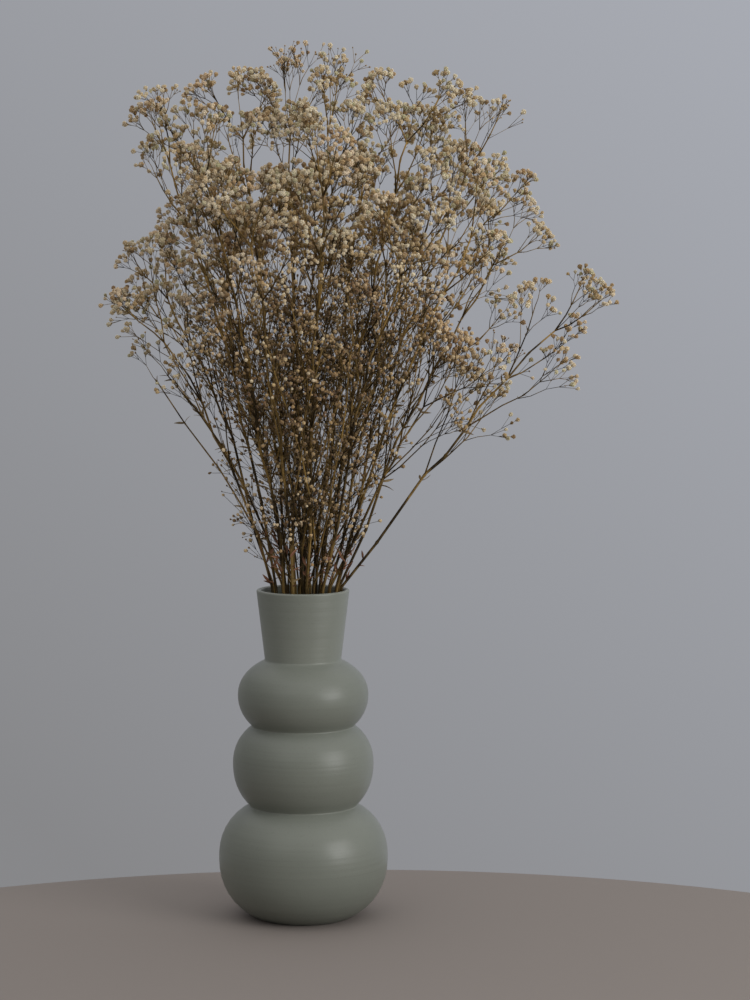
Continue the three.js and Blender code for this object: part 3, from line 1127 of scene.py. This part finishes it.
def makeSpray(number, stem):
    fine = growFine(number, stem)
    between = seededDraw(number + fineGrowth["seeds"]["turns"])
    anyTurn = fineGrowth["anyTurn"]
    bm = bmesh.new()
    petal, tone = [], []

    for kind, lines in fine.twigs.items():
        mesh = tubeMesh(lines, twigShape[kind]["sides"])
        bm.from_mesh(mesh)
        petal += [0.0] * len(mesh.vertices)
        tone += [twigShape[kind]["age"]] * len(mesh.vertices)
        bpy.data.meshes.remove(mesh)

    shapes = {kind: [] for kind in patterns}
    tones = {kind: [] for kind in patterns}
    for kind, place, direction, size, hue in fine.blooms:
        facing = leaning(direction, between(*bloomShape["facing"]), between(*anyTurn))
        squash = between(*bloomShape["squash"])
        shapes[kind].append(pointing(place, facing, size, between(*anyTurn), squash))
        tones[kind].append(hue)
    for kind, (pattern, patternPetal) in patterns.items():
        addCopies(bm, pattern, shapes[kind], "bloom")
        for hue in tones[kind]:
            petal += patternPetal
            tone += [hue] * len(patternPetal)

    leaves = fine.foliage + fine.reddish
    blades = [pointing(p, d, r, between(*anyTurn)) for p, d, r in leaves]
    addCopies(bm, leafPattern, blades, "leaf")
    petal += [0.0] * (len(leafPattern.vertices) * len(blades))
    tone += [0.0] * (len(leafPattern.vertices) * len(fine.foliage))
    tone += [leafLook["reddish"]] * (len(leafPattern.vertices) * len(fine.reddish))

    bmesh.ops.scale(bm, verts=bm.verts, vec=(mm, mm, mm))
    name = f"driedSpray_{number:02d}"
    mesh = bpy.data.meshes.new(name)
    bm.to_mesh(mesh)
    bm.free()
    for attribute, values in (("petal", petal), ("tone", tone)):
        mesh.attributes.new(attribute, "FLOAT", "POINT").data.foreach_set("value", values)
    for finish in finishes:
        mesh.materials.append(finish)
    spray = bpy.data.objects.new(name, mesh)
    bpy.context.scene.collection.objects.link(spray)
    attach(spray, "root")
    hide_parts(f"spray_{number:02d}")
    mesh.calc_loop_triangles()
    counts = [len(matrices) for matrices in shapes.values()]
    return *counts, len(blades), len(mesh.loop_triangles)


made = [makeSpray(i + 1, stem) for i, stem in enumerate(stems)]
totals = [sum(column) for column in zip(*made)]
print("sprays made: ruffled, plain and closed blooms, leaves, triangles:", totals)
for pattern in [bloom for bloom, petal in patterns.values()] + [leafPattern]:
    bpy.data.meshes.remove(pattern)


# a plain pale floor, a plain backdrop that lightens to the right, and soft light
studio = {
    "floorRadius": 0.709,
    "floorCentre": (0.04, -0.54, 0),
    "floorSides": 128,
    "floorSurface": {"roughness": 0.9},
    "floor": (0.244, 0.211, 0.189),
    "backdropDark": (0.242, 0.243, 0.252),
    "backdropLight": (0.405, 0.422, 0.468),
    "backdropSlope": (1.45, 0, 1.75),
    "backdropMiddle": 0.535,
    "room": (0.25, 0.252, 0.26),
    "roomTurn": (0.35, -0.3),
    "ceiling": (0.88, 0.88, 0.89),
    "ceilingTurn": (0.36, 0.85),
    "window": {"at": (2.0, -1.45, 0.95), "size": (1.5, 1.5), "power": 33},
    "fill": {"at": (-1.2, -2.2, 1.8), "size": (1.6, 1.6), "power": 3},
    "aim": (0, 0, 0.4),
}


def makeBackdrop(studio):
    world = bpy.data.worlds.new("plainBackdrop")
    world.use_nodes = True
    tree = world.node_tree
    coords = addNode(tree, "ShaderNodeTexCoord")
    slope = addNode(tree, "ShaderNodeVectorMath", {1: studio["backdropSlope"]}, operation="DOT_PRODUCT")
    tree.links.new(coords.outputs["Generated"], slope.inputs[0])
    middle = studio["backdropMiddle"]
    share = rangeOf(tree, slope.outputs["Value"], -middle, 1 - middle)
    backdrop = mixColours(tree, share, studio["backdropDark"], studio["backdropLight"])
    separate = addNode(tree, "ShaderNodeSeparateXYZ")
    tree.links.new(coords.outputs["Generated"], separate.inputs[0])
    inFront = rangeOf(tree, separate.outputs["Y"], *studio["roomTurn"])
    around = mixColours(tree, inFront, backdrop, studio["room"])
    overhead = rangeOf(tree, separate.outputs["Z"], *studio["ceilingTurn"])
    enclosed = mixColours(tree, overhead, around, studio["ceiling"])
    tree.links.new(enclosed, tree.nodes["Background"].inputs["Color"])
    bpy.context.scene.world = world


def makeStage(studio):
    bm = bmesh.new()
    place = Matrix.Translation(studio["floorCentre"])
    bmesh.ops.create_circle(
        bm,
        segments=studio["floorSides"],
        radius=studio["floorRadius"],
        cap_ends=True,
        matrix=place,
    )
    mesh = bpy.data.meshes.new("floorDisc")
    bm.to_mesh(mesh)
    bm.free()
    material, _, shader, _ = startMaterial("plainFloor")
    shader.inputs["Base Color"].default_value = (*studio["floor"], 1)
    setSurface(shader, studio["floorSurface"])
    mesh.materials.append(material)
    floor = bpy.data.objects.new("floorDisc", mesh)
    bpy.context.scene.collection.objects.link(floor)
    makeBackdrop(studio)
    for name in ("window", "fill"):
        look = studio[name]
        light = bpy.data.lights.new(name, "AREA")
        light.shape = "RECTANGLE"
        light.size, light.size_y = look["size"]
        light.energy = look["power"]
        lamp = bpy.data.objects.new(name, light)
        lamp.location = look["at"]
        aim = Vector(studio["aim"]) - Vector(look["at"])
        lamp.rotation_euler = aim.to_track_quat("-Z", "Y").to_euler()
        bpy.context.scene.collection.objects.link(lamp)
    bpy.context.scene.view_settings.view_transform = "Standard"


makeStage(studio)
